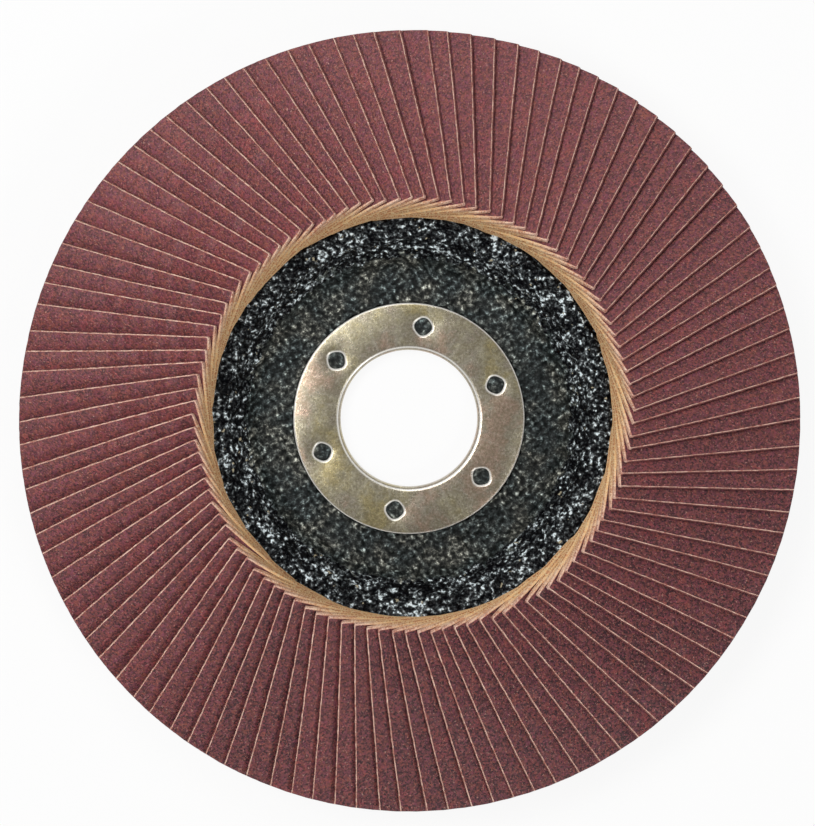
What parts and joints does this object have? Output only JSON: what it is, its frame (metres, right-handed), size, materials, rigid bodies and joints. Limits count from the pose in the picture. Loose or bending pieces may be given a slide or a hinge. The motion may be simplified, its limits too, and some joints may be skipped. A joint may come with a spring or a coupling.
{
  "type": "flap disc",
  "caption": "Conical abrasive flap disc for an angle grinder: a ring of leaning cloth flaps glued to a moulded glass-fibre backing plate with a pressed steel centre flange.",
  "frame": {"origin": "on the spindle axis, in the plane of the hub's back face, which the part lies on", "axes": "+Z along the spindle axis, away from the grinder and towards the work"},
  "size_m": [0.125, 0.125, 0.0183],
  "materials": {
    "zinc_plated_steel": "zinc plated with a faint yellow passivation",
    "glass_fibre_resin": "woven glass cloth in matt black resin",
    "black_adhesive": "cured glossy black adhesive",
    "abrasive_cloth": "maroon abrasive grit on tan cloth"
  },
  "bodies": {
    "root": {"centre_flange": "zinc_plated_steel", "backing_plate": "glass_fibre_resin", "adhesive_bed": "black_adhesive", "flap_pair_01": "abrasive_cloth", "flap_pair_02": "abrasive_cloth", "flap_pair_03": "abrasive_cloth", "flap_pair_04": "abrasive_cloth", "flap_pair_05": "abrasive_cloth", "flap_pair_06": "abrasive_cloth", "flap_pair_07": "abrasive_cloth", "flap_pair_08": "abrasive_cloth", "flap_pair_09": "abrasive_cloth", "flap_pair_10": "abrasive_cloth", "flap_pair_11": "abrasive_cloth", "flap_pair_12": "abrasive_cloth", "flap_pair_13": "abrasive_cloth", "flap_pair_14": "abrasive_cloth", "flap_pair_15": "abrasive_cloth", "flap_pair_16": "abrasive_cloth", "flap_pair_17": "abrasive_cloth", "flap_pair_18": "abrasive_cloth", "flap_pair_19": "abrasive_cloth", "flap_pair_20": "abrasive_cloth", "flap_pair_21": "abrasive_cloth", "flap_pair_22": "abrasive_cloth", "flap_pair_23": "abrasive_cloth", "flap_pair_24": "abrasive_cloth", "flap_pair_25": "abrasive_cloth", "flap_pair_26": "abrasive_cloth", "flap_pair_27": "abrasive_cloth", "flap_pair_28": "abrasive_cloth", "flap_pair_29": "abrasive_cloth", "flap_pair_30": "abrasive_cloth", "flap_pair_31": "abrasive_cloth", "flap_pair_32": "abrasive_cloth", "flap_pair_33": "abrasive_cloth", "flap_pair_34": "abrasive_cloth", "flap_pair_35": "abrasive_cloth", "flap_pair_36": "abrasive_cloth", "flap_pair_37": "abrasive_cloth", "flap_pair_38": "abrasive_cloth", "flap_pair_39": "abrasive_cloth", "flap_pair_40": "abrasive_cloth", "flap_pair_41": "abrasive_cloth", "flap_pair_42": "abrasive_cloth", "flap_pair_43": "abrasive_cloth", "flap_pair_44": "abrasive_cloth", "flap_pair_45": "abrasive_cloth", "flap_pair_46": "abrasive_cloth", "flap_pair_47": "abrasive_cloth", "flap_pair_48": "abrasive_cloth", "flap_pair_49": "abrasive_cloth", "flap_pair_50": "abrasive_cloth", "flap_pair_51": "abrasive_cloth", "flap_pair_52": "abrasive_cloth", "flap_pair_53": "abrasive_cloth"}
  },
  "joints": []
}
